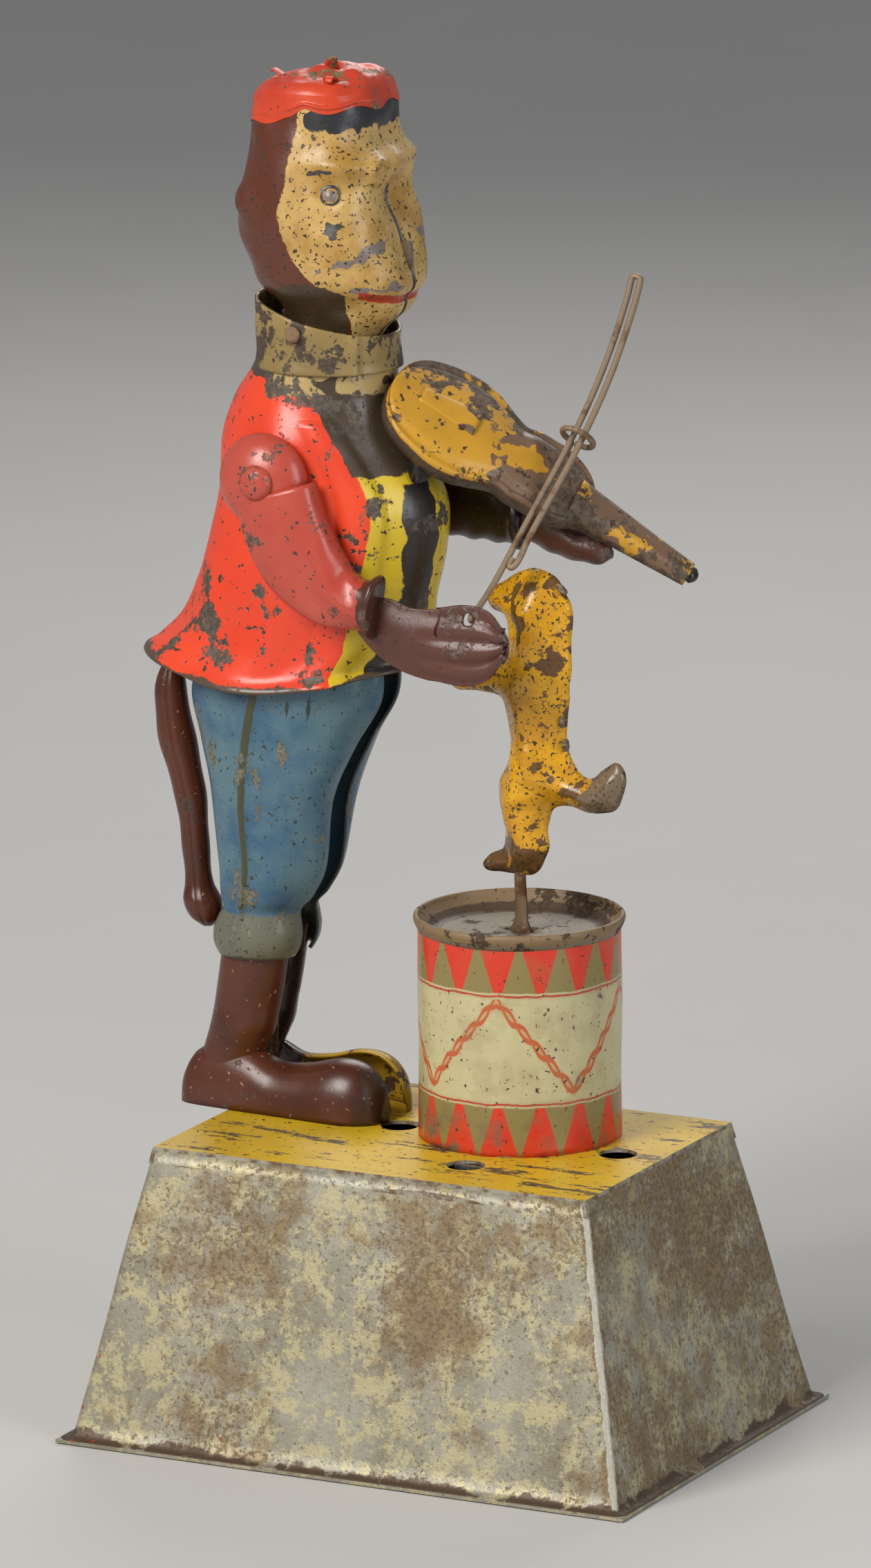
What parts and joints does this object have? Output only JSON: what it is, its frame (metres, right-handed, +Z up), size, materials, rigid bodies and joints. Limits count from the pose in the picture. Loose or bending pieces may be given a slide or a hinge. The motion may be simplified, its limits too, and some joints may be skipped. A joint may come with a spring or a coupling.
{
  "type": "clockwork toy violinist",
  "caption": "Wind-up pressed tin toy: a monkey in jacket and cap bows a violin beside a small drum on which a dog hops, on a tapered tin box.",
  "frame": {"origin": "middle of the underside of the tin base, on the surface it stands on", "axes": "+X from the monkey to the drum and dog, +Y to the winding key at the back, +Z up"},
  "size_m": [0.0955, 0.0871, 0.2005],
  "materials": {
    "base_tin": "worn litho tin",
    "yellow_top": "worn yellow enamel",
    "steel": "plain steel",
    "brass": "aged brass",
    "spring_steel": "blued spring steel",
    "drum_print": "printed tin",
    "drum_rim": "tarnished tin",
    "dog_yellow": "chipped yellow enamel",
    "jacket_red": "chipped red enamel",
    "sleeve_red": "chipped red enamel",
    "trouser_blue": "worn blue enamel",
    "fur_brown": "glossy dark brown lacquer",
    "face_tan": "worn tan enamel",
    "cap_red": "chipped red enamel",
    "collar_cream": "worn cream enamel",
    "violin_ochre": "rusted ochre enamel",
    "wire": "rusty wire",
    "black": "black enamel"
  },
  "bodies": {
    "base": {"base_bottom_plate": "base_tin", "base_side_wall": "base_tin", "base_top_plate": "yellow_top", "front_movement_plate": "steel", "rear_movement_plate": "steel", "frame_pillars": "steel", "mainspring": "spring_steel", "rocker_stud": "steel", "drum_shell": "drum_print", "drum_head": "drum_rim", "trouser_right": "trouser_blue", "trouser_left": "trouser_blue", "leg_right": "fur_brown", "leg_left": "fur_brown", "tail": "fur_brown", "body_right_half": "jacket_red", "body_left_half": "jacket_red", "bow_tie": "black", "collar": "collar_cream", "nod_pin": "steel", "left_sleeve": "sleeve_red", "left_hand": "fur_brown", "violin_body": "violin_ochre", "violin_neck": "violin_ochre", "violin_head": "black", "violin_tailpiece": "violin_ochre", "bow_guide": "wire"},
    "winding": {"winding_arbor": "steel", "winding_key": "steel", "ratchet_wheel": "steel"},
    "great": {"great_wheel": "brass", "click_rivet": "steel", "click_spring": "spring_steel"},
    "click": {"click": "steel"},
    "second": {"second_arbor": "steel", "second_wheel": "brass"},
    "crank": {"crank_arbor": "steel", "crank_wheel": "brass", "eccentric": "steel"},
    "fly": {"fly_arbor": "steel", "fly_vanes": "steel"},
    "rocker": {"rocker_beam": "steel"},
    "rod": {"drive_rod": "steel"},
    "nod_link": {"nod_wire": "steel"},
    "right_arm": {"shoulder_shaft": "steel", "shoulder_lever": "steel", "right_sleeve": "sleeve_red", "right_hand": "fur_brown"},
    "bow": {"bow": "wire"},
    "head": {"head_right_half": "face_tan", "head_left_half": "face_tan", "nod_plate": "steel", "cap": "cap_red"},
    "dog": {"dog_right_half": "dog_yellow", "dog_left_half": "dog_yellow", "dog_strip": "steel"}
  },
  "joints": [
    {"name": "winding_turn", "type": "hinge", "parent": "base", "child": "winding", "pos_m": [0.012, 0.02, 0.018], "axis": [0, -1, 0], "continuous": true},
    {"name": "great_wheel_turn", "type": "hinge", "parent": "base", "child": "great", "pos_m": [0.012, 0.0022, 0.018], "axis": [0, -1, 0], "continuous": true},
    {"name": "click_lift", "type": "hinge", "parent": "great", "child": "click", "pos_m": [0.0165, 0.0031, 0.02579], "axis": [0, -1, 0], "range_deg": [-12, 0], "stiffness_Nm_per_rad": 0.0001, "springref_deg": 11.46},
    {"name": "second_arbor_turn", "type": "hinge", "parent": "base", "child": "second", "pos_m": [-0.00481, 0, 0.0225], "axis": [0, -1, 0], "continuous": true},
    {"name": "crank_arbor_turn", "type": "hinge", "parent": "base", "child": "crank", "pos_m": [-0.01663, 0, 0.02042], "axis": [0, -1, 0], "continuous": true},
    {"name": "fly_turn", "type": "hinge", "parent": "base", "child": "fly", "pos_m": [-0.02228, 0, 0.01368], "axis": [0, -1, 0], "continuous": true},
    {"name": "rocker_swing", "type": "hinge", "parent": "base", "child": "rocker", "pos_m": [-0.017, 0.006, 0.036], "axis": [0, -1, 0], "range_deg": [-3.3, 3.3]},
    {"name": "rod_slide", "type": "slide", "parent": "base", "child": "rod", "axis": [0, 0, 1], "range_m": [-0.0009, 0.0009]},
    {"name": "nod_wire_slide", "type": "slide", "parent": "base", "child": "nod_link", "axis": [0, 0, 1], "range_m": [-0.0004, 0.0004]},
    {"name": "shoulder_turn", "type": "hinge", "parent": "base", "child": "right_arm", "pos_m": [-0.0235, 0.006, 0.1406], "axis": [0, -1, 0], "range_deg": [-6.11, 6.11]},
    {"name": "bow_pivot", "type": "hinge", "parent": "right_arm", "child": "bow", "pos_m": [0.0092, -0.007, 0.1223], "axis": [-0.9223, 0.3685, -0.1162], "range_deg": [-5.27, 5.27]},
    {"name": "head_nod", "type": "hinge", "parent": "base", "child": "head", "pos_m": [-0.0209, 0.006, 0.1607], "axis": [0, -1, 0], "range_deg": [-3.46, 3.46]},
    {"name": "dog_hop", "type": "slide", "parent": "base", "child": "dog", "axis": [0, 0, 1], "range_m": [-0.0016, 0.0016]}
  ],
  "couplings": [
    {"joint": "second_arbor_turn", "follows": "great_wheel_turn", "ratio": -4.8},
    {"joint": "crank_arbor_turn", "follows": "great_wheel_turn", "ratio": 24},
    {"joint": "fly_turn", "follows": "great_wheel_turn", "ratio": -108},
    {"joint": "rod_slide", "follows": "rocker_swing", "m_per_rad": -0.0145},
    {"joint": "nod_wire_slide", "follows": "rocker_swing", "m_per_rad": -0.0061625},
    {"joint": "shoulder_turn", "follows": "rocker_swing", "ratio": 1.8125},
    {"joint": "bow_pivot", "follows": "rocker_swing", "ratio": 1.5645},
    {"joint": "head_nod", "follows": "rocker_swing", "ratio": 1.0271},
    {"joint": "dog_hop", "follows": "rocker_swing", "m_per_rad": 0.0265}
  ]
}
